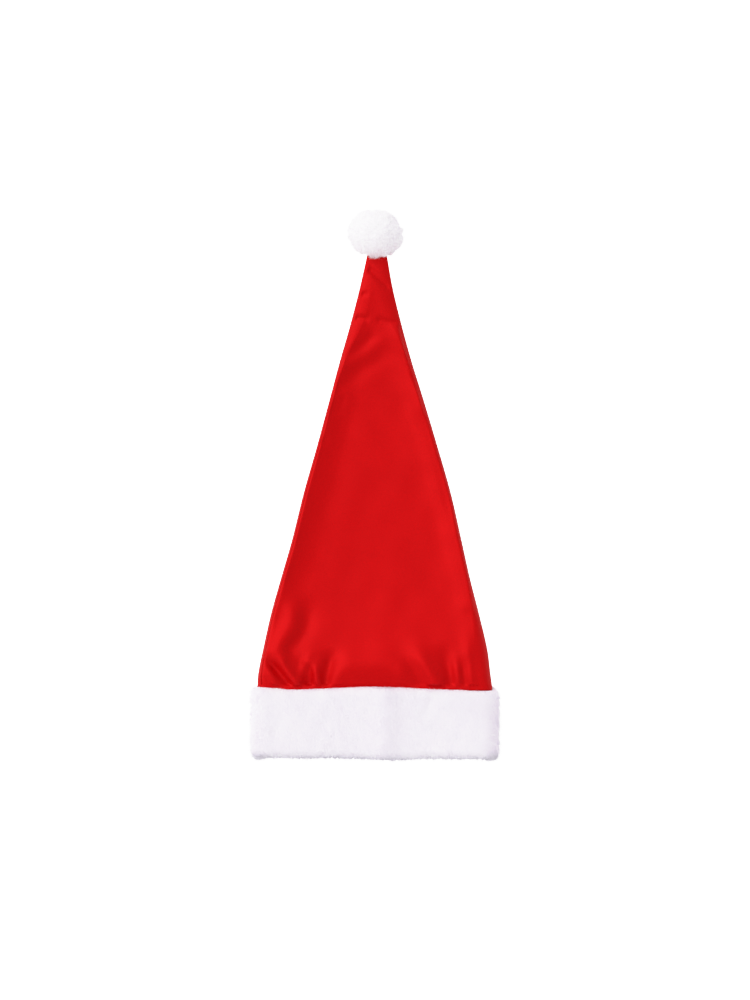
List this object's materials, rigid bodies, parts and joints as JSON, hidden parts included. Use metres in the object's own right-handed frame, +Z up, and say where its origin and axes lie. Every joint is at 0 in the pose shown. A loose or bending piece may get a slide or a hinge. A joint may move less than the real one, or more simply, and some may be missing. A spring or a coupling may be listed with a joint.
{
  "type": "santa hat",
  "caption": "Soft red satin cone hat with a white plush band and a plush pompom at its tip, lying flat with the head opening free; worn on the head.",
  "frame": {"origin": "on the surface that the hat lies on, below the centre of its outline", "axes": "+X across the hat, to the right of the picture; +Y along the hat from the head opening to the pompom; +Z up"},
  "size_m": [0.2892, 0.637, 0.0556],
  "materials": {
    "satin": "smooth red satin with a soft sheen",
    "plush": "short dense white plush pile"
  },
  "bodies": {
    "root": {"crown_front": "satin", "crown_back": "satin", "fur_band": "plush", "pompom": "plush"}
  },
  "joints": []
}
